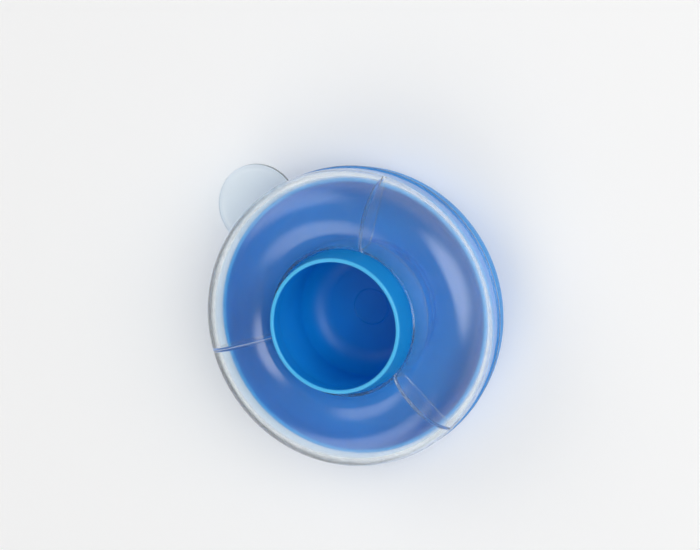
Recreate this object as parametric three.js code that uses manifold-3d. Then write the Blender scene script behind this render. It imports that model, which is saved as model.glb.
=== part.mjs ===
// A spill-safe school paint pot: a bowl-shaped base, a water cup that lifts out of it, a clear
// ring-shaped cover with a pull tab, and the soft ring that the cover grips.
// Millimetres, +Z up. The origin is on the table, under the middle of the cup.
import * as THREE from "three";
import { mergeVertices } from "three/addons/utils/BufferGeometryUtils.js";
import Module from "manifold-3d";

const wasm = await Module();
wasm.setup();

// Facets: every turned piece has the same sides, so that round fits keep their gaps.
const SIDES = 56;
const ARC_STEPS = 4; // an arc in a profile gets twice this many steps
const TAB_STEPS = 24; // steps in half of the tab's round

// Clearances
const SEAT_GAP = 0.2; // under a piece that rests on another
const CUP_FIT = 0.3; // round the cup's lower corner, in the base's seat ring
const COVER_FIT = 0.3; // round the base's spigot, inside the cover's skirt
const SEAL_FIT = 0.15; // each side of the soft ring
const DRIP_GAP = 0.6; // round the cup's neck, where drips run down into the trough
const WEB_CLEARANCE = 1.5; // between the cover's webs and the top of the spigot

// Water cup
const MOUTH_HEIGHT = 38; // table to rim
const MOUTH_DRAW_IN = 1.1; // how much narrower the rim is than the cup's body
const CUP_RADIUS = 22.8; // outside of the body
const CUP_WALL = 1.3;
const CUP_CORNER = 9.5; // outside radius between wall and bottom
const GATE_RECESS_RADIUS = 6; // round dimple in the cup's floor
const GATE_RECESS_DEPTH = 0.4;

// Clear cover
const COVER_RADIUS = 48; // widest, at the ring's equator
const SKIRT_WALL = 2; // at the equator
const SKIRT_TAPER = 0.6; // how much the skirt's outside narrows towards its foot
const COVER_WALL = 1.4; // over the crown
const EQUATOR_RISE = 8.4; // above the base's ledge
const CROWN_RISE = 12; // above the equator
const LIP_DROP = 5.7; // from the crown down to the cup's neck
const COLLAR_DEPTH = 10.5; // sleeve that hangs from the lip round the cup
const BEAD_HEIGHT = 1.6; // edge bead at the skirt's foot
const BEAD_PROUD = 0.5;
const WEB_COUNT = 3;
const WEB_THICKNESS = 1.3;
const TAB_RADIUS = 13.6; // half-round pull tab
const TAB_THICKNESS = 1.8;
const TAB_BEARING = -45; // degrees from +X
const TAB_RIM = 1.5; // raised edge round the tab's thumb hollow
const TAB_HOLLOW_DEPTH = 0.5;

// Base bowl
const BASE_WALL = 1.6;
const LEDGE_HEIGHT = 15; // what the cover stands on
const SPIGOT_RISE = 6; // the base's neck, above the ledge
const FOOT_INSET = 9.8; // how far the foot stands in from the ledge's edge
const FOOT_WIDTH = 4;
const FOOT_RECESS = 0.8; // how far the underside stands off the table
const SEAT_RING_WALL = 1.4; // low ring that keeps the cup in the middle
const SEAT_RING_RISE = 2.4; // above the floor
const TROUGH_ROUND = 6.5; // how far the trough's wall curves in to its floor

// Soft ring
const SEAL_HEIGHT = 2.2;
const SEAL_DEPTH = 0.9; // how far its groove is cut into the spigot
const SEAL_DROP = 1.8; // below the spigot's top

// Sizes that follow from the ones above
const equatorHeight = LEDGE_HEIGHT + EQUATOR_RISE;
const crownHeight = equatorHeight + CROWN_RISE;
const lipHeight = crownHeight - LIP_DROP;
const lipRadius = CUP_RADIUS + DRIP_GAP;
const collarRadius = lipRadius + COVER_WALL;
const crownRadius = (COVER_RADIUS + lipRadius) / 2;
const skirtBore = COVER_RADIUS - SKIRT_WALL;
const skirtFootRadius = COVER_RADIUS - SKIRT_TAPER;
const skirtFootHeight = LEDGE_HEIGHT + SEAT_GAP;
const spigotRadius = skirtBore - COVER_FIT;
const spigotBore = spigotRadius - BASE_WALL;
const spigotTop = LEDGE_HEIGHT + SPIGOT_RISE;
const footRadius = skirtFootRadius - FOOT_INSET;
const floorHeight = FOOT_RECESS + BASE_WALL;
const seatRingTop = floorHeight + SEAT_RING_RISE;
const cupBottom = floorHeight + SEAT_GAP;
const cupCornerHeight = cupBottom + CUP_CORNER;
const seatRingBore =
  CUP_RADIUS - CUP_CORNER + Math.sqrt((CUP_CORNER + CUP_FIT) ** 2 - (cupCornerHeight - seatRingTop) ** 2);
const sealTop = spigotTop - SEAL_DROP;
const sealGrooveRadius = spigotRadius - SEAL_DEPTH;

const BLUE = 0x0796e6;
const SOFT_BLUE = 0x2f8fe6;
const CLEAR = 0xdff2fb;
const plastic = (color, roughness, extra = {}) =>
  new THREE.MeshStandardMaterial({ color, roughness, metalness: 0, ...extra });
const materials = {
  base: plastic(BLUE, 0.35),
  cup: plastic(BLUE, 0.35),
  cover: plastic(CLEAR, 0.05, { transparent: true, opacity: 0.3 }),
  seal: plastic(SOFT_BLUE, 0.7),
};

// A closed geometry as a solid that can be joined and cut. Faces with no area are left out.
function solidFrom(geometry) {
  const bare = geometry.clone();
  bare.deleteAttribute("normal");
  bare.deleteAttribute("uv");
  const merged = mergeVertices(bare, 1e-4);
  const corners = merged.index.array;
  const triVerts = [];
  for (let i = 0; i < corners.length; i += 3) {
    const [a, b, c] = corners.slice(i, i + 3);
    if (a !== b && b !== c && c !== a) triVerts.push(a, b, c);
  }
  return new wasm.Manifold(
    new wasm.Mesh({
      numProp: 3,
      vertProperties: merged.attributes.position.array,
      triVerts: new Uint32Array(triVerts),
    }),
  );
}

function meshFrom(solid, name, material) {
  const { numProp, vertProperties, triVerts } = solid.getMesh();
  const position = new Float32Array((vertProperties.length / numProp) * 3);
  for (let v = 0; v < position.length / 3; v++)
    position.set(vertProperties.subarray(v * numProp, v * numProp + 3), v * 3);
  const geometry = new THREE.BufferGeometry();
  geometry.setAttribute("position", new THREE.BufferAttribute(position, 3));
  geometry.setIndex(new THREE.BufferAttribute(triVerts, 1));
  geometry.computeVertexNormals();
  const mesh = new THREE.Mesh(geometry, material);
  mesh.name = name;
  return mesh;
}

// A profile of radius and height, drawn anticlockwise, turned about +Z.
function turned(profile) {
  const geometry = new THREE.LatheGeometry(profile.getPoints(ARC_STEPS), SIDES);
  return solidFrom(geometry.rotateX(Math.PI / 2));
}

// A plan outline raised along +Z from a height, with its edges rounded by a bevel.
function raised(shape, from, height, bevel = 0) {
  const geometry = new THREE.ExtrudeGeometry(shape, {
    depth: height - 2 * bevel,
    curveSegments: TAB_STEPS,
    bevelEnabled: bevel > 0,
    bevelThickness: bevel,
    bevelSize: bevel,
    bevelOffset: -bevel,
    bevelSegments: 2,
  });
  return solidFrom(geometry.translate(0, 0, from + bevel));
}

function disc(x, radius) {
  return new THREE.Shape().absarc(x, 0, radius, 0, 2 * Math.PI);
}

// Adds an arc to a profile, by its centre, half-width, half-height and angles in degrees.
function arc(path, x, z, halfWidth, halfHeight, from, to) {
  const start = THREE.MathUtils.degToRad(from);
  const end = THREE.MathUtils.degToRad(to);
  path.absellipse(x, z, halfWidth, halfHeight, start, end, to < from);
}

function waterCup() {
  const floor = cupBottom + CUP_WALL;
  const bore = CUP_RADIUS - CUP_WALL;
  const mouthRadius = CUP_RADIUS - MOUTH_DRAW_IN;
  const innerCorner = CUP_CORNER - CUP_WALL;
  const rimRound = CUP_WALL / 2;
  const rimFoot = MOUTH_HEIGHT - rimRound;
  const profile = new THREE.Path();
  profile.moveTo(0, cupBottom);
  profile.lineTo(CUP_RADIUS - CUP_CORNER, cupBottom);
  arc(profile, CUP_RADIUS - CUP_CORNER, cupCornerHeight, CUP_CORNER, CUP_CORNER, -90, 0);
  profile.lineTo(CUP_RADIUS, lipHeight);
  profile.lineTo(mouthRadius, rimFoot);
  arc(profile, mouthRadius - rimRound, rimFoot, rimRound, rimRound, 0, 180);
  profile.lineTo(bore, lipHeight);
  profile.lineTo(bore, floor + innerCorner);
  arc(profile, bore - innerCorner, floor + innerCorner, innerCorner, innerCorner, 0, -90);
  profile.lineTo(GATE_RECESS_RADIUS, floor);
  profile.lineTo(GATE_RECESS_RADIUS, floor - GATE_RECESS_DEPTH);
  profile.lineTo(0, floor - GATE_RECESS_DEPTH);
  return turned(profile);
}

// The wall leaves the ledge upright, inside and out, and curves in to the foot and the floor.
function baseBowl() {
  const footInner = footRadius - FOOT_WIDTH;
  const rimRound = BASE_WALL / 2;
  const rimFoot = spigotTop - rimRound;
  const seatRingRadius = seatRingBore + SEAT_RING_WALL;
  const profile = new THREE.Path();
  profile.moveTo(0, FOOT_RECESS);
  profile.lineTo(footInner - FOOT_RECESS, FOOT_RECESS);
  profile.lineTo(footInner, 0);
  profile.lineTo(footRadius, 0);
  arc(profile, footRadius, LEDGE_HEIGHT, FOOT_INSET, LEDGE_HEIGHT, -90, 0);
  profile.lineTo(spigotRadius, LEDGE_HEIGHT);
  profile.lineTo(spigotRadius, sealTop - SEAL_HEIGHT);
  profile.lineTo(sealGrooveRadius, sealTop - SEAL_HEIGHT);
  profile.lineTo(sealGrooveRadius, sealTop);
  profile.lineTo(spigotRadius, sealTop);
  profile.lineTo(spigotRadius, rimFoot);
  arc(profile, spigotRadius - rimRound, rimFoot, rimRound, rimRound, 0, 180);
  profile.lineTo(spigotBore, LEDGE_HEIGHT);
  arc(profile, spigotBore - TROUGH_ROUND, LEDGE_HEIGHT, TROUGH_ROUND, LEDGE_HEIGHT - floorHeight, 0, -90);
  profile.lineTo(seatRingRadius, floorHeight);
  profile.lineTo(seatRingRadius, seatRingTop);
  profile.lineTo(seatRingBore, seatRingTop);
  profile.lineTo(seatRingBore, floorHeight);
  profile.lineTo(0, floorHeight);
  return turned(profile);
}

// The crown at a depth below its skin: a quarter ellipse from the equator to the crown, and a
// circle, level at the crown, from there down to the lip.
function crownAt(depth) {
  const run = crownRadius - lipRadius;
  const radius = (run * run + LIP_DROP * LIP_DROP) / (2 * LIP_DROP);
  const centre = crownHeight - radius;
  const lipAngle = (at) => 180 - THREE.MathUtils.radToDeg(Math.acos((crownRadius - at) / (radius - depth)));
  const outer = (path, reach, from, to) =>
    arc(path, crownRadius, equatorHeight, reach - crownRadius, CROWN_RISE - depth, from, to);
  const inner = (path, from, to) =>
    arc(path, crownRadius, centre, radius - depth, radius - depth, from, to);
  return { outer, inner, lipAngle };
}

function coverShell() {
  const skin = crownAt(0);
  const lining = crownAt(COVER_WALL);
  const collarFoot = lipHeight - COLLAR_DEPTH;
  const beadMiddle = skirtFootHeight + BEAD_HEIGHT / 2;
  const profile = new THREE.Path();
  profile.moveTo(skirtBore, skirtFootHeight);
  profile.lineTo(skirtFootRadius, skirtFootHeight);
  arc(profile, skirtFootRadius, beadMiddle, BEAD_PROUD, BEAD_HEIGHT / 2, -90, 90);
  skin.outer(profile, COVER_RADIUS, 0, 90);
  skin.inner(profile, 90, skin.lipAngle(lipRadius));
  profile.lineTo(lipRadius, collarFoot);
  profile.lineTo(collarRadius, collarFoot);
  lining.inner(profile, lining.lipAngle(collarRadius), 90);
  lining.outer(profile, skirtBore, 90, 0);
  profile.lineTo(skirtBore, skirtFootHeight);
  return turned(profile);
}

// The room under the crown, out to the middle of the walls that close it in.
function crownRoom() {
  const middle = crownAt(COVER_WALL / 2);
  const start = (lipRadius + collarRadius) / 2;
  const reach = (skirtBore + COVER_RADIUS) / 2;
  const profile = new THREE.Path();
  profile.moveTo(start, LEDGE_HEIGHT);
  profile.lineTo(reach, LEDGE_HEIGHT);
  middle.outer(profile, reach, 0, 90);
  middle.inner(profile, 90, middle.lipAngle(start));
  profile.lineTo(start, LEDGE_HEIGHT);
  return turned(profile);
}

// An upright web under the crown, from the collar to the skirt.
function crownWeb(room, bearing) {
  const half = WEB_THICKNESS / 2;
  const plan = new THREE.Shape();
  plan.moveTo(0, -half);
  plan.lineTo(COVER_RADIUS, -half);
  plan.lineTo(COVER_RADIUS, half);
  plan.lineTo(0, half);
  const foot = spigotTop + WEB_CLEARANCE;
  const plate = raised(plan, foot, crownHeight - foot);
  return plate.rotate([0, 0, bearing]).intersect(room);
}

// A half-round tongue at the skirt's foot, with a thumb hollow, rooted in the skirt's wall.
function pullTab() {
  const hollowFloor = skirtFootHeight + TAB_THICKNESS - TAB_HOLLOW_DEPTH;
  const insideSkirt = disc(0, (skirtBore + skirtFootRadius) / 2);
  const tongue = raised(disc(skirtFootRadius, TAB_RADIUS), skirtFootHeight, TAB_THICKNESS, TAB_HOLLOW_DEPTH)
    .subtract(raised(disc(skirtFootRadius, TAB_RADIUS - TAB_RIM), hollowFloor, TAB_THICKNESS))
    .rotate([0, 0, TAB_BEARING]);
  return tongue.subtract(raised(insideSkirt, LEDGE_HEIGHT, 2 * TAB_THICKNESS));
}

// The webs part the ring into equal lengths, with the tab at the middle of one.
function clearCover() {
  const pitch = 360 / WEB_COUNT;
  const room = crownRoom();
  let cover = coverShell().add(pullTab());
  for (let web = 0; web < WEB_COUNT; web++) {
    const bearing = TAB_BEARING + (web + 0.5) * pitch;
    cover = cover.add(crownWeb(room, bearing));
  }
  return cover;
}

function coverSeal() {
  const inner = sealGrooveRadius + SEAL_FIT;
  const outer = skirtBore - SEAL_FIT;
  const bottom = sealTop - SEAL_HEIGHT + SEAL_FIT;
  const top = sealTop - SEAL_FIT;
  const back = (inner + outer) / 2;
  const profile = new THREE.Path();
  profile.moveTo(inner, bottom);
  profile.lineTo(back, bottom);
  arc(profile, back, (bottom + top) / 2, outer - back, (top - bottom) / 2, -90, 90);
  profile.lineTo(inner, top);
  profile.lineTo(inner, bottom);
  return turned(profile);
}

const pot = new THREE.Group();
pot.add(meshFrom(baseBowl(), "base_bowl", materials.base));
pot.add(meshFrom(waterCup(), "water_cup", materials.cup));
pot.add(meshFrom(clearCover(), "clear_cover", materials.cover));
pot.add(meshFrom(coverSeal(), "cover_seal", materials.seal));

export default pot;
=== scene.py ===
"""Dresses a school paint pot: blue base, lift-out water cup, clear ring cover and soft seal."""

import math

import bmesh
import bpy
from bpy.props import (
    FloatProperty, FloatVectorProperty, IntProperty, PointerProperty, StringProperty,
)
from mathutils import Matrix, Quaternion, Vector


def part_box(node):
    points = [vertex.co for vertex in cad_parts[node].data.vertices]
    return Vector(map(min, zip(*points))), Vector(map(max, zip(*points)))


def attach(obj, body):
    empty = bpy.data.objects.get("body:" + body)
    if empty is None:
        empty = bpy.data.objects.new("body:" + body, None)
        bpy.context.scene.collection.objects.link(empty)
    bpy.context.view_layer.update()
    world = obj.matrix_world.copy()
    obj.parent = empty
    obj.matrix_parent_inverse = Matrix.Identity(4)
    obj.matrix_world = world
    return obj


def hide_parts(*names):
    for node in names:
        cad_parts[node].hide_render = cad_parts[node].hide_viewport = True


bl_info = {
    "name": "Paint pot",
    "version": (1, 0, 0),
    "blender": (4, 5, 0),
    "location": "3D View > Sidebar > Paint pot",
    "description": "Builds the visible pieces of a spill-safe paint pot and its studio",
    "category": "Add Mesh",
}

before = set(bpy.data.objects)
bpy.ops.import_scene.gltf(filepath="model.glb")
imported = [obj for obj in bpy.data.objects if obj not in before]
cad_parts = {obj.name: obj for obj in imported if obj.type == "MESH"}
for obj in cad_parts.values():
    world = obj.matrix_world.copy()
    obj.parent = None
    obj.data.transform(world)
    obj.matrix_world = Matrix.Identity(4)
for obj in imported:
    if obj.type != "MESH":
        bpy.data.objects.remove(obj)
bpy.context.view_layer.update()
BASE_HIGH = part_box("base_bowl")[1]
CUP_LOW, CUP_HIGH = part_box("water_cup")
COVER_LOW, COVER_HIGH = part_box("clear_cover")
SEAL_LOW, SEAL_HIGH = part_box("cover_seal")

MM = 0.001
ARC_STEPS = 28  # in an arc of an outline
BEAD_STEPS = 12  # in the round of a bead
ROUND_STEPS = 5  # in a rounded corner
MERGE = 1e-7  # metres between points that are one point
SLIVER = 2e-6  # metres across a sliver that a joint leaves
CREASE = math.radians(40.0)  # edges sharper than this stay sharp
SEAL_FIT = 0.15 * MM  # on each side of the soft ring

# Round lamps: name, bearing and elevation in degrees, distance and size in metres, watts
LAMPS = (
    ("Key softbox", -163.0, 44.0, 1.7, 2.2, 34.0),
    ("Back softbox", 75.0, 42.0, 1.7, 1.8, 12.0),
    ("Fill softbox", -40.0, 37.0, 1.7, 1.8, 11.0),
)
LAMP_AIM = Vector((0.0, 0.0, 20.0 * MM))
# A lamp's face runs from 0 to 1 both ways
LAMP_MIDDLE = (0.5, 0.5, 0.0)
LAMP_EDGE = 0.5  # from the middle, where the light has faded out
LAMP_CORE = 0.2  # from the middle, where it starts to fade

# Light from all round: what falls on the pot, and what its gloss and the eye see
EVEN_LIGHT = 0.3
WALL_LIGHT = 1.0
CEILING_LIGHT = 0.04
WALL_TOP = (0.1, 0.6)  # upward part of a ray's direction, where wall turns into ceiling

FLOOR_REACH = 3.0  # metres from the middle of the floor to its edges
FLOOR_DROP = 0.05 * MM  # floor below the pot's foot
SENSOR_WIDTH = 36.0  # millimetres
VIEW_LIMIT = 20.0  # metres that the camera sees


# Properties


def length(name, description, millimetres):
    """A size in millimetres as a Blender length."""
    return FloatProperty(
        name=name, description=description, default=millimetres * MM, unit="LENGTH", precision=5
    )


def share(name, description, part):
    """A part of a whole."""
    return FloatProperty(name=name, description=description, default=part, min=0.0, max=1.0)


def shade(name, description, code):
    """A colour as an sRGB hex value."""
    return StringProperty(name=name, description=description, default=code)


class PaintPotBase(bpy.types.PropertyGroup):
    ledge_radius: length("Ledge radius", "Outside of the bowl under the cover", BASE_HIGH.x / MM)
    ledge_height: length("Ledge height", "Table to the ledge that the cover stands on", 15.0)
    neck_radius: length("Neck radius", "Outside of the neck inside the cover's skirt", 45.7)
    neck_top: length("Neck top", "Table to the top of the neck", BASE_HIGH.z / MM)
    wall: length("Wall", "Thickness of the neck and the floor", 1.6)
    foot_inset: length("Foot inset", "How far the foot stands in from the ledge", 9.8)
    foot_width: length("Foot width", "Flat ring that meets the table", 4.0)
    foot_recess: length("Foot recess", "Underside above the table", 0.8)
    trough_round: length("Trough round", "How far the wall curves in to the trough's floor", 6.5)
    seat_bore: length("Seat bore", "Inside radius of the low ring that centres the cup", 19.84)
    seat_wall: length("Seat wall", "Thickness of that ring", 1.4)
    seat_rise: length("Seat rise", "Height of that ring above the floor", 2.4)
    groove_top: length("Groove top", "Table to the top of the seal's groove", 19.2)
    groove_height: length("Groove height", "Height of the seal's groove", 2.2)
    groove_depth: length("Groove depth", "How far the groove is cut into the neck", 0.9)
    nub_radius: length("Nub radius", "Gate nub in the middle of the underside", 1.9)
    nub_height: length("Nub height", "How far the nub stands out", 0.35)


class PaintPotCup(bpy.types.PropertyGroup):
    radius: length("Body radius", "Outside of the cup below its neck", CUP_HIGH.x / MM)
    draw_in: length("Mouth draw-in", "How much narrower the rim is than the body", 1.1)
    neck_height: length("Neck height", "Table to where the wall starts to draw in", 29.7)
    neck_bend: length("Neck bend", "Radius of the wall's bend there", 6.0)
    rim_height: length("Rim height", "Table to the rim", CUP_HIGH.z / MM)
    bottom: length("Bottom", "Table to the cup's underside", CUP_LOW.z / MM)
    wall: length("Wall", "Thickness of the wall", 1.3)
    corner: length("Corner", "Outside radius between wall and bottom", 9.5)
    gate_radius: length("Gate dimple radius", "Round dimple in the floor", 6.0)
    gate_depth: length("Gate dimple depth", "How deep the dimple is", 0.4)


class PaintPotCover(bpy.types.PropertyGroup):
    radius: length("Radius", "Widest, at the ring's equator", COVER_HIGH.x / MM)
    bore: length("Skirt bore", "Inside radius of the skirt", 46.0)
    taper: length("Skirt taper", "How much the skirt narrows towards its foot", 0.6)
    foot: length("Skirt foot", "Table to the skirt's lower edge", COVER_LOW.z / MM)
    equator: length("Equator", "Table to the widest line", 23.4)
    crown: length("Crown", "Table to the highest line", COVER_HIGH.z / MM)
    lip_radius: length("Lip radius", "Round hole for the cup", 23.4)
    lip_drop: length("Lip drop", "From the crown down to the lip", 5.7)
    collar_depth: length("Collar depth", "Sleeve below the lip", 10.5)
    wall: length("Wall", "Thickness over the crown", 1.4)
    bead_height: length("Bead height", "Edge bead at the skirt's foot", 1.6)
    bead_proud: length("Bead proud", "How far the bead stands out", 0.5)
    web_count: IntProperty(name="Webs", description="Upright webs under the crown", default=3)
    web_thickness: length("Web thickness", "Thickness of a web", 1.3)
    web_foot: length("Web foot", "Table to a web's lower edge", 22.5)
    tab_radius: length("Tab radius", "Half-round pull tab", 13.6)
    tab_thickness: length("Tab thickness", "Thickness of the tab's edge", 1.8)
    tab_rim: length("Tab rim", "Raised edge around the thumb hollow", 1.5)
    tab_hollow: length("Tab hollow", "Depth of the thumb hollow", 0.5)
    tab_bearing: FloatProperty(
        name="Tab bearing", description="Where the tab points, from +X",
        default=math.radians(-45.0), subtype="ANGLE",
    )


class PaintPotEdges(bpy.types.PropertyGroup):
    crisp: length("Crisp edge", "Radius in the seal's groove", 0.15)
    fine: length("Fine edge", "Radius of small marks and hollows", 0.25)
    soft: length("Soft edge", "Radius of outer edges that a hand meets", 0.4)
    fillet: length("Fillet", "Radius of inner corners", 0.6)
    rim: FloatProperty(
        name="Rim roundness", description="Radius of a rim as a share of its wall",
        default=0.45, min=0.0, max=0.49,
    )


class PaintPotFinish(bpy.types.PropertyGroup):
    blue: shade("Blue", "Polypropylene of the base and the cup", "#0796E6")
    blue_deep: shade("Deep blue", "The same plastic where it is thickest", "#0585D4")
    # Painted glow: the thin blue and the edge and glow settings below pale the rims of base and cup
    # as if light came through them; this is painted colour, not light
    painted_rim_blue: shade("Thin blue", "The same plastic where light comes through", "#55CAFF")
    base_painted_rim_reach: length("Base edge", "How far down the base's rim light comes through", 1.2)
    base_painted_rim_strength: share("Base glow", "How strongly it shows there", 0.35)
    cup_painted_rim_reach: length("Cup edge", "How far down the cup's rim light comes through", 1.1)
    cup_painted_rim_strength: share("Cup glow", "How strongly it shows there", 0.85)
    seal_blue: shade("Seal blue", "Soft ring under the cover", "#2F8FE6")
    clear: shade("Clear", "Tint of the clear cover", "#F3FAFE")
    floor: shade("Floor", "Studio floor", "#F4F4F4")


class PaintPotCamera(bpy.types.PropertyGroup):
    bearing: FloatProperty(
        name="Bearing", description="Camera's bearing from the pot, from +X",
        default=math.radians(-152.0), subtype="ANGLE",
    )
    elevation: FloatProperty(
        name="Elevation", description="Camera's height above the table, as an angle",
        default=math.radians(67.0), subtype="ANGLE",
    )
    roll: FloatProperty(
        name="Roll", description="Turn of the picture about the view",
        default=math.radians(-117.0), subtype="ANGLE",
    )
    aim: FloatVectorProperty(
        name="Aim", description="Point at the middle of the picture", subtype="TRANSLATION",
        default=(-3.948 * MM, -15.879 * MM, 33.356 * MM), precision=5,
    )
    distance: length("Distance", "From the aim to the lens", 1258.2)
    lens: FloatProperty(name="Lens", description="Focal length in millimetres", default=205.64)


class PaintPotSettings(bpy.types.PropertyGroup):
    base: PointerProperty(type=PaintPotBase)
    cup: PointerProperty(type=PaintPotCup)
    cover: PointerProperty(type=PaintPotCover)
    edges: PointerProperty(type=PaintPotEdges)
    finish: PointerProperty(type=PaintPotFinish)
    camera: PointerProperty(type=PaintPotCamera)
    facets: IntProperty(
        name="Facets", description="Sides of every turned piece", default=192, min=48
    )


# Shapes


class Outline:
    """A wire of radius and height in the XZ plane, drawn point by point."""

    def __init__(self, radius, height):
        self.bm = bmesh.new()
        self.tip = bmesh.ops.create_vert(self.bm, co=(radius, 0.0, height))["vert"][0]
        self.corners = []

    def soften(self, rounding):
        """Marks the last point as a corner to round by that radius."""
        self.corners.append((self.tip, rounding))
        return self

    def line(self, radius, height, rounding=0.0):
        """Draws a straight run to a point."""
        self.tip = bmesh.ops.extrude_vert_indiv(self.bm, verts=[self.tip])["verts"][0]
        self.tip.co = (radius, 0.0, height)
        return self.soften(rounding) if rounding else self

    def arc(self, radius, height, degrees, wide=1.0, tall=1.0, steps=ARC_STEPS):
        """Swings the last point about a centre, anticlockwise, and stretches the arc about it."""
        centre = Vector((radius, 0.0, height))
        before = set(self.bm.verts)
        swung = bmesh.ops.spin(
            self.bm, geom=[self.tip], cent=centre, axis=(0.0, -1.0, 0.0), dvec=(0.0, 0.0, 0.0),
            angle=math.radians(degrees), steps=steps,
        )
        drawn = [vert for vert in self.bm.verts if vert not in before]
        bmesh.ops.scale(
            self.bm, vec=(wide, 1.0, tall), space=Matrix.Translation(-centre), verts=drawn
        )
        self.tip = swung["geom_last"][0]
        return self

    def rounded(self):
        """Rounds the marked corners and returns the wire."""
        bmesh.ops.remove_doubles(self.bm, verts=self.bm.verts, dist=MERGE)
        for vert, rounding in self.corners:
            one, two = (edge.other_vert(vert).co - vert.co for edge in vert.link_edges)
            reach = rounding / math.tan(one.angle(two) / 2.0)
            bmesh.ops.bevel(
                self.bm, geom=[vert], offset=reach, offset_type="OFFSET", segments=ROUND_STEPS,
                profile=0.5, affect="VERTICES", material=-1,
            )
        return self.bm

    def turned(self, facets):
        """The wire turned about Z into a closed body."""
        bm = self.rounded()
        bmesh.ops.spin(
            bm, geom=bm.verts[:] + bm.edges[:], cent=(0.0, 0.0, 0.0), axis=(0.0, 0.0, 1.0),
            dvec=(0.0, 0.0, 0.0), angle=math.tau, steps=facets, use_merge=True,
        )
        return closed(bm)

    def thickened(self, thickness):
        """The closed wire filled and thickened to a plate, half to each side."""
        bm = self.rounded()
        return plate(bm, Vector((0.0, thickness, 0.0)))


def closed(bm):
    """Merges a body's seams and poles and turns its faces outwards."""
    bmesh.ops.remove_doubles(bm, verts=bm.verts, dist=MERGE)
    bmesh.ops.recalc_face_normals(bm, faces=bm.faces)
    return bm


def plate(bm, thickness):
    """Fills a closed flat wire and raises it to a plate about its own plane."""
    face = bmesh.ops.contextual_create(bm, geom=bm.edges[:])["faces"]
    raised = bmesh.ops.extrude_face_region(bm, geom=face)["geom"]
    moved = [item for item in raised if isinstance(item, bmesh.types.BMVert)]
    bmesh.ops.translate(bm, vec=thickness, verts=moved)
    bmesh.ops.translate(bm, vec=thickness / -2.0, verts=bm.verts)
    return closed(bm)


def turn_about_z(bm, angle):
    turn = Matrix.Rotation(angle, 3, "Z")
    bmesh.ops.rotate(bm, cent=(0.0, 0.0, 0.0), matrix=turn, verts=bm.verts)


def as_object(name, bm):
    """A new object with its place in its mesh."""
    mesh = bpy.data.meshes.new(name)
    bm.to_mesh(mesh)
    bm.free()
    piece = bpy.data.objects.new(name, mesh)
    bpy.context.scene.collection.objects.link(piece)
    return piece


def joined(piece, others, operation="UNION"):
    """Joins closed bodies into the piece's mesh, or cuts them from it, and removes them."""
    for other in others:
        step = piece.modifiers.new(operation.title(), "BOOLEAN")
        step.operation = operation
        step.solver = "EXACT"
        step.object = other
    graph = bpy.context.evaluated_depsgraph_get()
    done = bpy.data.meshes.new_from_object(piece.evaluated_get(graph))
    piece.modifiers.clear()
    bm = bmesh.new()
    bm.from_mesh(done)
    bmesh.ops.dissolve_degenerate(bm, dist=SLIVER, edges=bm.edges)
    closed(bm).to_mesh(done)
    bm.free()
    piece.data = done
    done.name = piece.name
    for other in others:
        bpy.data.objects.remove(other)
    return piece


def finished(piece, body, node, material):
    """Gives a piece its shading, its material and its body, and hides the solid that it stands for.
    """
    piece.data.shade_smooth()
    piece.data.set_sharp_from_angle(angle=CREASE)
    piece.data.materials.clear()
    piece.data.materials.append(material)
    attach(piece, body)
    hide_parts(node)


# Materials

WHITE = (1.0, 1.0, 1.0, 1.0)
POLYPROPYLENE_IOR = 1.49
ELASTOMER_IOR = 1.48

# Roughness from the glossiest to the dullest patches
SATIN = (0.32, 0.42)
HAZE = (0.08, 0.16)
MATT = (0.55, 0.8)
PAPER_ROUGHNESS = 0.9

# Patterns: how far apart their features are, in millimetres, and how far these stand out
TONE_CLOUD = 22.0
GLOSS_CLOUD = 9.0
FLOW_RING = 5.0
SPARK_GRAIN = 0.5  # really some ten times finer, drawn this coarse to show
GRAIN_HEIGHT = 0.012 * MM
MOULD_RIPPLE = 11.0
RIPPLE_HEIGHT = 0.12 * MM
COVER_WAVE = 16.0
WAVE_HEIGHT = 0.08 * MM
WIPE_MARK = 9.0
DUST_SPECK = 1.5  # clumps, because single specks are too fine to show
DUST_HEIGHT = 0.03 * MM

DEEP_SHARE = 0.55  # of the deeper blue in the middle of a cloud
RING_SHARE = 0.25  # of the flow rings in the gloss
CLARITY = 0.975  # light that the cover lets through
RINGS_PER_UNIT = math.tau / 20.0  # scale at which a Wave texture has one ring in a metre

# Glow that whitens the paper for the eye: near the pot and far off, and where it rises, in metres
PAPER_GLOW = (0.12, 0.75)
PAPER_SPAN = (0.2, 2.0)


def linear(code):
    """An sRGB hex value as a linear colour with alpha."""
    parts = [int(code[i : i + 2], 16) / 255.0 for i in (1, 3, 5)]
    return [c / 12.92 if c <= 0.04045 else ((c + 0.055) / 1.055) ** 2.4 for c in parts] + [1.0]


def per_metre(millimetres):
    """A pattern's scale from the real size of its features."""
    return 1.0 / (millimetres * MM)


def node(tree, kind, settings=None, values=None, links=None):
    """Adds a node with its settings, its input values and its links."""
    made = tree.nodes.new(kind)
    for name, value in (settings or {}).items():
        setattr(made, name, value)
    for name, value in (values or {}).items():
        made.inputs[name].default_value = value
    for name, source in (links or {}).items():
        tree.links.new(source, made.inputs[name])
    return made


def new_material(name):
    material = bpy.data.materials.new(name)
    material.use_nodes = True
    material.node_tree.nodes.clear()
    return material, material.node_tree


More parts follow.
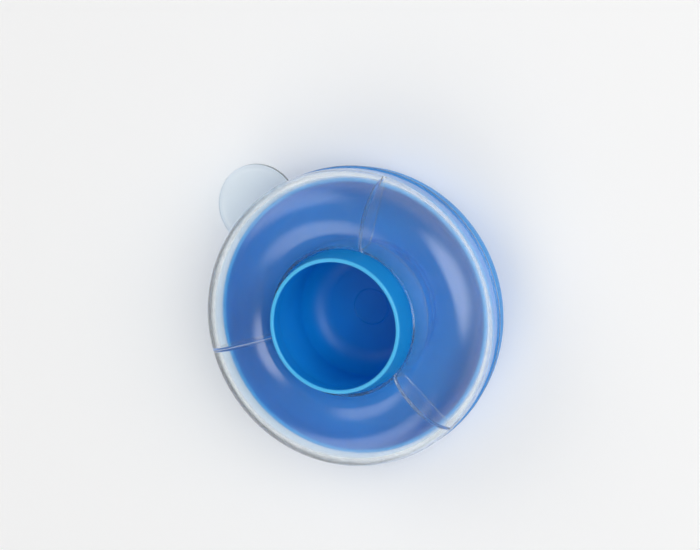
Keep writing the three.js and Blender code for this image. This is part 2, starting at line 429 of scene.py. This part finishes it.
def moulded_polypropylene(name, finish, rim_height, rim_paint_reach, glow):
    """Blue polypropylene from a fine-spark mould: a soft satin gloss with slow ripples in its
    highlights, clouds of deeper tone, faint rings from the flow of the plastic, and a painted
    glow: the colour pales towards the rim, painted there to stand for light through the thin edge."""
    material, tree = new_material(name)
    place = node(tree, "ShaderNodeTexCoord").outputs["Object"]
    flow = node(tree, "ShaderNodeTexNoise",
                values={"Scale": per_metre(TONE_CLOUD), "Detail": 2.0}, links={"Vector": place})
    tone = node(tree, "ShaderNodeMix", {"data_type": "RGBA"},
                {"A": linear(finish.blue), "B": linear(finish.blue_deep)})
    blend = node(tree, "ShaderNodeMapRange",
                 values={"From Min": 0.35, "From Max": 0.7, "To Max": DEEP_SHARE},
                 links={"Value": flow.outputs["Fac"]})
    tree.links.new(blend.outputs["Result"], tone.inputs["Factor"])
    # Painted glow: the edge mask turns the colour paler near the rim by height alone, standing for
    # light through the thin wall
    height = node(tree, "ShaderNodeSeparateXYZ", links={"Vector": place}).outputs["Z"]
    edge = node(tree, "ShaderNodeMapRange", {"interpolation_type": "SMOOTHSTEP"},
                {"From Min": rim_height - rim_paint_reach, "From Max": rim_height, "To Max": glow},
                {"Value": height})
    colour = node(tree, "ShaderNodeMix", {"data_type": "RGBA"}, {"B": linear(finish.painted_rim_blue)},
                  {"Factor": edge.outputs["Result"], "A": tone.outputs["Result"]})
    # Plastic that fills the mould from its middle leaves faint rings of more and less gloss
    rings = node(tree, "ShaderNodeTexWave", {"wave_type": "RINGS", "rings_direction": "Z"},
                 {"Scale": per_metre(FLOW_RING) * RINGS_PER_UNIT, "Distortion": 3.0, "Detail": 2.0},
                 {"Vector": place})
    cloud = node(tree, "ShaderNodeTexNoise",
                 values={"Scale": per_metre(GLOSS_CLOUD), "Detail": 3.0}, links={"Vector": place})
    gloss = node(tree, "ShaderNodeMix", values={"Factor": RING_SHARE},
                 links={"A": cloud.outputs["Fac"], "B": rings.outputs["Fac"]})
    roughness = node(tree, "ShaderNodeMapRange",
                     values={"From Min": 0.25, "From Max": 0.75, "To Min": SATIN[0],
                             "To Max": SATIN[1]},
                     links={"Value": gloss.outputs["Result"]})
    grain = node(tree, "ShaderNodeTexNoise",
                 values={"Scale": per_metre(SPARK_GRAIN), "Detail": 1.0}, links={"Vector": place})
    ripple = node(tree, "ShaderNodeTexNoise",
                  values={"Scale": per_metre(MOULD_RIPPLE), "Detail": 1.0}, links={"Vector": place})
    skin = node(tree, "ShaderNodeBump", values={"Strength": 0.35, "Distance": GRAIN_HEIGHT},
                links={"Height": grain.outputs["Fac"]})
    swell = node(tree, "ShaderNodeBump", values={"Strength": 0.5, "Distance": RIPPLE_HEIGHT},
                 links={"Height": ripple.outputs["Fac"], "Normal": skin.outputs["Normal"]})
    shader = node(tree, "ShaderNodeBsdfPrincipled", values={"IOR": POLYPROPYLENE_IOR},
                  links={"Base Color": colour.outputs["Result"],
                         "Roughness": roughness.outputs["Result"],
                         "Normal": swell.outputs["Normal"]})
    node(tree, "ShaderNodeOutputMaterial", links={"Surface": shader.outputs["BSDF"]})
    return material


def hazy_polypropylene(finish):
    """Clear polypropylene, moulded: not quite glass, so what lies behind it is a little milky and
    soft, with broad highlights, a slow wave in its reflections and cloudy patches where it was
    handled. Lamps shine through it on to what it covers."""
    material, tree = new_material("Clear polypropylene, polished mould")
    place = node(tree, "ShaderNodeTexCoord").outputs["Object"]
    wave = node(tree, "ShaderNodeTexNoise",
                values={"Scale": per_metre(COVER_WAVE), "Detail": 1.0}, links={"Vector": place})
    swell = node(tree, "ShaderNodeBump", values={"Strength": 0.3, "Distance": WAVE_HEIGHT},
                 links={"Height": wave.outputs["Fac"]})
    wipe = node(tree, "ShaderNodeTexNoise",
                values={"Scale": per_metre(WIPE_MARK), "Detail": 5.0}, links={"Vector": place})
    haze = node(tree, "ShaderNodeMapRange",
                values={"From Min": 0.4, "From Max": 0.75, "To Min": HAZE[0], "To Max": HAZE[1]},
                links={"Value": wipe.outputs["Fac"]})
    plastic = node(tree, "ShaderNodeBsdfPrincipled",
                   values={"Base Color": linear(finish.clear), "IOR": POLYPROPYLENE_IOR,
                           "Transmission Weight": CLARITY},
                   links={"Roughness": haze.outputs["Result"], "Normal": swell.outputs["Normal"]})
    lamp_way = node(tree, "ShaderNodeBsdfTransparent", values={"Color": linear(finish.clear)})
    rays = node(tree, "ShaderNodeLightPath")
    surface = node(tree, "ShaderNodeMixShader", links={0: rays.outputs["Is Shadow Ray"],
                                                       1: plastic.outputs["BSDF"],
                                                       2: lamp_way.outputs["BSDF"]})
    node(tree, "ShaderNodeOutputMaterial", links={"Surface": surface.outputs["Shader"]})
    return material


def soft_elastomer(finish):
    """Thermoplastic elastomer, moulded: a matt, slightly grippy skin that takes up fine dust."""
    material, tree = new_material("Thermoplastic elastomer, moulded")
    place = node(tree, "ShaderNodeTexCoord").outputs["Object"]
    dust = node(tree, "ShaderNodeTexNoise",
                values={"Scale": per_metre(DUST_SPECK), "Detail": 4.0}, links={"Vector": place})
    roughness = node(tree, "ShaderNodeMapRange", values={"To Min": MATT[0], "To Max": MATT[1]},
                     links={"Value": dust.outputs["Fac"]})
    skin = node(tree, "ShaderNodeBump", values={"Strength": 0.4, "Distance": DUST_HEIGHT},
                links={"Height": dust.outputs["Fac"]})
    shader = node(tree, "ShaderNodeBsdfPrincipled",
                  values={"Base Color": linear(finish.seal_blue), "IOR": ELASTOMER_IOR},
                  links={"Roughness": roughness.outputs["Result"],
                         "Normal": skin.outputs["Normal"]})
    node(tree, "ShaderNodeOutputMaterial", links={"Surface": shader.outputs["BSDF"]})
    return material


def studio_paper(finish):
    """Matt white paper that shows white to the eye and in the clear plastic, and keeps shadows."""
    material, tree = new_material("Matt white paper")
    place = node(tree, "ShaderNodeTexCoord").outputs["Object"]
    away = node(tree, "ShaderNodeVectorMath", {"operation": "LENGTH"}, links={0: place})
    lift = node(tree, "ShaderNodeMapRange", {"interpolation_type": "SMOOTHSTEP"},
                {"From Min": PAPER_SPAN[0], "From Max": PAPER_SPAN[1],
                 "To Min": PAPER_GLOW[0], "To Max": PAPER_GLOW[1]},
                {"Value": away.outputs["Value"]})
    lift = node(tree, "ShaderNodeMath", {"operation": "MULTIPLY"},
                links={0: lift.outputs["Result"], 1: seen_rays(tree)})
    shader = node(tree, "ShaderNodeBsdfPrincipled",
                  values={"Base Color": linear(finish.floor), "Roughness": PAPER_ROUGHNESS,
                          "Emission Color": WHITE},
                  links={"Emission Strength": lift.outputs["Value"]})
    node(tree, "ShaderNodeOutputMaterial", links={"Surface": shader.outputs["BSDF"]})
    return material


# Pieces


def base_outline(base, edges):
    foot = base.ledge_radius - base.foot_inset
    foot_inner = foot - base.foot_width
    floor = base.foot_recess + base.wall
    bore = base.neck_radius - base.wall
    groove = base.neck_radius - base.groove_depth
    groove_foot = base.groove_top - base.groove_height
    seat_radius = base.seat_bore + base.seat_wall
    seat_top = floor + base.seat_rise
    depth = base.ledge_height - floor
    rim_round = edges.rim * base.wall
    nub_end = base.foot_recess - base.nub_height
    outline = Outline(0.0, nub_end)
    outline.line(base.nub_radius - base.nub_height, nub_end, edges.crisp)
    outline.line(base.nub_radius, base.foot_recess, edges.crisp)
    outline.line(foot_inner - base.foot_recess, base.foot_recess, edges.fillet)
    outline.line(foot_inner, 0.0, edges.soft)
    outline.line(foot, 0.0)
    outline.arc(foot, base.ledge_height, 90.0, wide=base.foot_inset / base.ledge_height)
    outline.soften(edges.soft)
    outline.line(base.neck_radius, base.ledge_height, edges.fine)
    outline.line(base.neck_radius, groove_foot, edges.crisp)
    outline.line(groove, groove_foot, edges.crisp)
    outline.line(groove, base.groove_top, edges.crisp)
    outline.line(base.neck_radius, base.groove_top, edges.crisp)
    outline.line(base.neck_radius, base.neck_top, rim_round)
    outline.line(bore, base.neck_top, rim_round)
    outline.line(bore, base.ledge_height)
    outline.arc(bore - base.trough_round, base.ledge_height, -90.0, tall=depth / base.trough_round)
    outline.line(seat_radius, floor, edges.fillet)
    outline.line(seat_radius, seat_top, edges.soft)
    outline.line(base.seat_bore, seat_top, edges.soft)
    outline.line(base.seat_bore, floor, edges.fillet)
    outline.line(0.0, floor)
    return outline


class PAINTPOT_OT_base(bpy.types.Operator):
    """Add the bowl-shaped base with its neck, its trough and the low ring that centres the cup"""

    bl_idname = "paint_pot.add_base"
    bl_label = "Base"

    def execute(self, context):
        pot = context.scene.paint_pot
        outline = base_outline(pot.base, pot.edges)
        # The base's paler rim is a painted glow, not light
        piece = as_object("base_shell", outline.turned(pot.facets))
        material = moulded_polypropylene(
            "Polypropylene, spark-finished mould, base", pot.finish,
            pot.base.neck_top, pot.finish.base_painted_rim_reach, pot.finish.base_painted_rim_strength,
        )
        finished(piece, "base", "base_bowl", material)
        return {"FINISHED"}


def cup_outline(cup, edges):
    bore = cup.radius - cup.wall
    mouth = cup.radius - cup.draw_in
    floor = cup.bottom + cup.wall
    inner_corner = cup.corner - cup.wall
    rim_round = edges.rim * cup.wall
    outline = Outline(0.0, cup.bottom)
    outline.line(cup.radius - cup.corner, cup.bottom)
    outline.arc(cup.radius - cup.corner, cup.bottom + cup.corner, 90.0)
    outline.line(cup.radius, cup.neck_height, cup.neck_bend)
    outline.line(mouth, cup.rim_height, rim_round)
    outline.line(mouth - cup.wall, cup.rim_height, rim_round)
    outline.line(bore, cup.neck_height, cup.neck_bend)
    outline.line(bore, floor + inner_corner)
    outline.arc(bore - inner_corner, floor + inner_corner, -90.0)
    outline.line(cup.gate_radius, floor, edges.fine)
    outline.line(cup.gate_radius - cup.gate_depth, floor - cup.gate_depth, edges.fine)
    outline.line(0.0, floor - cup.gate_depth)
    return outline


class PAINTPOT_OT_cup(bpy.types.Operator):
    """Add the water cup"""

    bl_idname = "paint_pot.add_cup"
    bl_label = "Water cup"

    def execute(self, context):
        pot = context.scene.paint_pot
        outline = cup_outline(pot.cup, pot.edges)
        piece = as_object("cup_shell", outline.turned(pot.facets))
        # The cup's paler rim is a painted glow, not light
        material = moulded_polypropylene(
            "Polypropylene, spark-finished mould, cup", pot.finish,
            pot.cup.rim_height, pot.finish.cup_painted_rim_reach, pot.finish.cup_painted_rim_strength,
        )
        finished(piece, "cup", "water_cup", material)
        return {"FINISHED"}


def crown_curve(cover, depth):
    """The crown at a depth below its skin, inside the highest line: radius of that line, radius of
    the arc that runs level there, and height of the arc's centre."""
    top = (cover.radius + cover.lip_radius) / 2.0
    run = top - cover.lip_radius
    bend = (run**2 + cover.lip_drop**2) / (2.0 * cover.lip_drop)
    return top, bend - depth, cover.crown - bend


def crown_sweep(cover, depth, reach):
    """Degrees from the highest line inwards to a radius."""
    top, bend, _ = crown_curve(cover, depth)
    return math.degrees(math.asin((top - reach) / bend))


def cover_outline(cover, edges):
    foot_radius = cover.radius - cover.taper
    collar = cover.lip_radius + cover.wall
    collar_foot = cover.crown - cover.lip_drop - cover.collar_depth
    top, _, centre = crown_curve(cover, 0.0)
    lining = crown_curve(cover, cover.wall)[1]
    rise = cover.crown - cover.equator
    lining_start = crown_sweep(cover, cover.wall, collar)
    outline = Outline(cover.bore, cover.foot)
    outline.line(foot_radius, cover.foot)
    outline.arc(foot_radius, cover.foot + cover.bead_height / 2.0, 180.0,
                wide=2.0 * cover.bead_proud / cover.bead_height, steps=BEAD_STEPS)
    outline.line(cover.radius, cover.equator)
    outline.arc(top, cover.equator, 90.0, tall=rise / (cover.radius - top))
    outline.arc(top, centre, crown_sweep(cover, 0.0, cover.lip_radius)).soften(edges.soft)
    outline.line(cover.lip_radius, collar_foot, edges.soft)
    outline.line(collar, collar_foot, edges.soft)
    outline.line(collar, centre + lining * math.cos(math.radians(lining_start)))
    outline.arc(top, centre, -lining_start)
    outline.arc(top, cover.equator, -90.0, wide=(cover.bore - top) / (rise - cover.wall))
    outline.line(cover.bore, cover.foot)
    return outline


def web_plate(cover, edges, bearing):
    """An upright web under the crown, with its ends in the middle of the walls."""
    depth = cover.wall / 2.0
    start = cover.lip_radius + depth
    top, bend, centre = crown_curve(cover, depth)
    rise = cover.crown - depth - cover.equator
    reach = (cover.bore + cover.radius) / 2.0 - top
    lift = math.degrees(math.asin((cover.web_foot - cover.equator) / rise))
    sweep = crown_sweep(cover, depth, start)
    outline = Outline(top, cover.crown - depth)
    outline.arc(top, cover.equator, lift - 90.0, wide=reach / rise)
    outline.line(start, cover.web_foot)
    outline.line(start, centre + bend * math.cos(math.radians(sweep)))
    outline.arc(top, centre, -sweep)
    bm = outline.thickened(cover.web_thickness)
    lower = [edge for edge in bm.edges
             if all(abs(vert.co.z - cover.web_foot) < MERGE for vert in edge.verts)]
    bmesh.ops.bevel(
        bm, geom=lower, offset=edges.fine, offset_type="OFFSET", segments=ROUND_STEPS, profile=0.5,
        affect="EDGES", material=-1,
    )
    turn_about_z(bm, bearing)
    return as_object("web", bm)


def pull_tab(cover, edges, facets):
    """The half-round tab with its thumb hollow, cut off inside the skirt's wall."""
    root = cover.radius - cover.taper
    hollow = cover.tab_radius - cover.tab_rim
    top = cover.foot + cover.tab_thickness
    floor = top - cover.tab_hollow
    outline = Outline(0.0, cover.foot)
    outline.line(cover.tab_radius, cover.foot, edges.fillet)
    outline.line(cover.tab_radius, top, edges.fillet)
    outline.line(hollow, top, edges.fine)
    outline.line(hollow - cover.tab_hollow, floor, edges.soft)
    outline.line(0.0, floor)
    bm = outline.turned(facets)
    bmesh.ops.translate(bm, vec=(root, 0.0, 0.0), verts=bm.verts)
    turn_about_z(bm, cover.tab_bearing)
    plug = bmesh.new()
    inside = (cover.bore + root) / 2.0
    bmesh.ops.create_cone(
        plug, cap_ends=True, segments=facets, radius1=inside, radius2=inside,
        depth=4.0 * cover.tab_thickness, matrix=Matrix.Translation((0.0, 0.0, cover.foot)),
    )
    return joined(as_object("tab", bm), [as_object("plug", plug)], "DIFFERENCE")


class PAINTPOT_OT_cover(bpy.types.Operator):
    """Add the clear ring cover with its webs and its pull tab"""

    bl_idname = "paint_pot.add_cover"
    bl_label = "Clear cover"

    def execute(self, context):
        pot = context.scene.paint_pot
        cover, edges = pot.cover, pot.edges
        piece = as_object("cover_shell", cover_outline(cover, edges).turned(pot.facets))
        pitch = math.tau / cover.web_count
        webs = [web_plate(cover, edges, cover.tab_bearing + (web + 0.5) * pitch)
                for web in range(cover.web_count)]
        joined(piece, webs + [pull_tab(cover, edges, pot.facets)])
        finished(piece, "cover", "clear_cover", hazy_polypropylene(pot.finish))
        return {"FINISHED"}


def seal_outline(base, bore):
    inner = base.neck_radius - base.groove_depth + SEAL_FIT
    outer = bore - SEAL_FIT
    back = (inner + outer) / 2.0
    outline = Outline(inner, SEAL_LOW.z)
    outline.line(back, SEAL_LOW.z)
    outline.arc(back, (SEAL_LOW.z + SEAL_HIGH.z) / 2.0, 180.0,
                wide=2.0 * (outer - back) / (SEAL_HIGH.z - SEAL_LOW.z), steps=BEAD_STEPS)
    outline.line(inner, SEAL_HIGH.z)
    outline.line(inner, SEAL_LOW.z)
    return outline


class PAINTPOT_OT_seal(bpy.types.Operator):
    """Add the soft ring on the base's neck"""

    bl_idname = "paint_pot.add_seal"
    bl_label = "Seal"

    def execute(self, context):
        pot = context.scene.paint_pot
        piece = as_object("seal_ring", seal_outline(pot.base, pot.cover.bore).turned(pot.facets))
        finished(piece, "base", "cover_seal", soft_elastomer(pot.finish))
        return {"FINISHED"}


# Studio


def softbox(name, bearing, elevation, distance, size, watts):
    """A round lamp that faces the pot and fades to its edge, so that its reflections are soft."""
    data = bpy.data.lights.new(name, "AREA")
    data.shape = "DISK"
    data.size = size
    data.energy = watts
    data.use_nodes = True
    tree = data.node_tree
    tree.nodes.clear()
    face = node(tree, "ShaderNodeNewGeometry").outputs["Parametric"]
    away = node(tree, "ShaderNodeVectorMath", {"operation": "DISTANCE"}, {1: LAMP_MIDDLE},
                {0: face})
    fade = node(tree, "ShaderNodeMapRange", {"interpolation_type": "SMOOTHSTEP"},
                {"From Min": LAMP_EDGE, "From Max": LAMP_CORE}, {"Value": away.outputs["Value"]})
    glow = node(tree, "ShaderNodeEmission", links={"Strength": fade.outputs["Result"]})
    node(tree, "ShaderNodeOutputLight", links={"Surface": glow.outputs["Emission"]})
    lamp = bpy.data.objects.new(name, data)
    lamp.location, lamp.rotation_euler = station(
        math.radians(bearing), math.radians(elevation), 0.0, distance, LAMP_AIM
    )
    bpy.context.scene.collection.objects.link(lamp)


def station(bearing, elevation, roll, distance, aim):
    """Place and rotation of something that looks at a point from a bearing and an elevation."""
    level = math.cos(elevation)
    back = Vector((level * math.cos(bearing), level * math.sin(bearing), math.sin(elevation)))
    turn = back.to_track_quat("Z", "Y") @ Quaternion((0.0, 0.0, 1.0), roll)
    return aim + back * distance, turn.to_euler()


def seen_rays(tree):
    """1 for rays from the eye, straight or by way of gloss or clear plastic, and else 0."""
    rays = node(tree, "ShaderNodeLightPath")
    seen = rays.outputs["Is Camera Ray"]
    for way in ("Is Glossy Ray", "Is Transmission Ray"):
        seen = node(tree, "ShaderNodeMath", {"operation": "MAXIMUM"},
                    links={0: seen, 1: rays.outputs[way]}).outputs["Value"]
    return seen


def studio_walls():
    """A soft even light, seen as white walls under a dark ceiling."""
    world = bpy.data.worlds.new("Studio walls")
    world.use_nodes = True
    tree = world.node_tree
    tree.nodes.clear()
    height = node(tree, "ShaderNodeSeparateXYZ",
                  links={"Vector": node(tree, "ShaderNodeTexCoord").outputs["Generated"]})
    walls = node(tree, "ShaderNodeMapRange", {"interpolation_type": "SMOOTHSTEP"},
                 {"From Min": WALL_TOP[0], "From Max": WALL_TOP[1],
                  "To Min": WALL_LIGHT, "To Max": CEILING_LIGHT},
                 {"Value": height.outputs["Z"]})
    level = node(tree, "ShaderNodeMix", values={"A": EVEN_LIGHT},
                 links={"Factor": seen_rays(tree), "B": walls.outputs["Result"]})
    light = node(tree, "ShaderNodeBackground", values={"Color": WHITE},
                 links={"Strength": level.outputs["Result"]})
    node(tree, "ShaderNodeOutputWorld", links={"Surface": light.outputs["Background"]})
    return world


class PAINTPOT_OT_stage(bpy.types.Operator):
    """Add the floor, the lamps, the world and the camera"""

    bl_idname = "paint_pot.add_stage"
    bl_label = "Stage"

    def execute(self, context):
        scene = context.scene
        pot = scene.paint_pot
        bm = bmesh.new()
        bmesh.ops.create_grid(
            bm, x_segments=1, y_segments=1, size=FLOOR_REACH,
            matrix=Matrix.Translation((0.0, 0.0, -FLOOR_DROP)),
        )
        floor = as_object("studio_floor", bm)
        floor.data.materials.append(studio_paper(pot.finish))

        for lamp in LAMPS:
            softbox(*lamp)
        scene.world = studio_walls()

        view = pot.camera
        data = bpy.data.cameras.new("Main camera")
        data.sensor_width = SENSOR_WIDTH
        data.lens = view.lens
        data.clip_end = VIEW_LIMIT
        camera = bpy.data.objects.new("Main camera", data)
        camera.location, camera.rotation_euler = station(
            view.bearing, view.elevation, view.roll, view.distance, Vector(view.aim)
        )
        scene.collection.objects.link(camera)
        scene.camera = camera
        scene.view_settings.view_transform = "Standard"
        return {"FINISHED"}


class PAINTPOT_PT_panel(bpy.types.Panel):
    """Lists the pieces of the pot"""

    bl_idname = "PAINTPOT_PT_panel"
    bl_label = "Paint pot"
    bl_space_type = "VIEW_3D"
    bl_region_type = "UI"
    bl_category = "Paint pot"

    def draw(self, context):
        for operator in OPERATORS:
            self.layout.operator(operator.bl_idname)


GROUPS = (
    PaintPotBase, PaintPotCup, PaintPotCover, PaintPotEdges, PaintPotFinish, PaintPotCamera,
    PaintPotSettings,
)
OPERATORS = (
    PAINTPOT_OT_stage, PAINTPOT_OT_base, PAINTPOT_OT_seal, PAINTPOT_OT_cup, PAINTPOT_OT_cover,
)


def register():
    for item in GROUPS + OPERATORS + (PAINTPOT_PT_panel,):
        bpy.utils.register_class(item)
    bpy.types.Scene.paint_pot = PointerProperty(type=PaintPotSettings)


def unregister():
    del bpy.types.Scene.paint_pot
    for item in reversed(GROUPS + OPERATORS + (PAINTPOT_PT_panel,)):
        bpy.utils.unregister_class(item)


def main():
    register()
    bpy.ops.paint_pot.add_stage()
    bpy.ops.paint_pot.add_base()
    bpy.ops.paint_pot.add_seal()
    bpy.ops.paint_pot.add_cup()
    bpy.ops.paint_pot.add_cover()


if __name__ == "__main__":
    main()
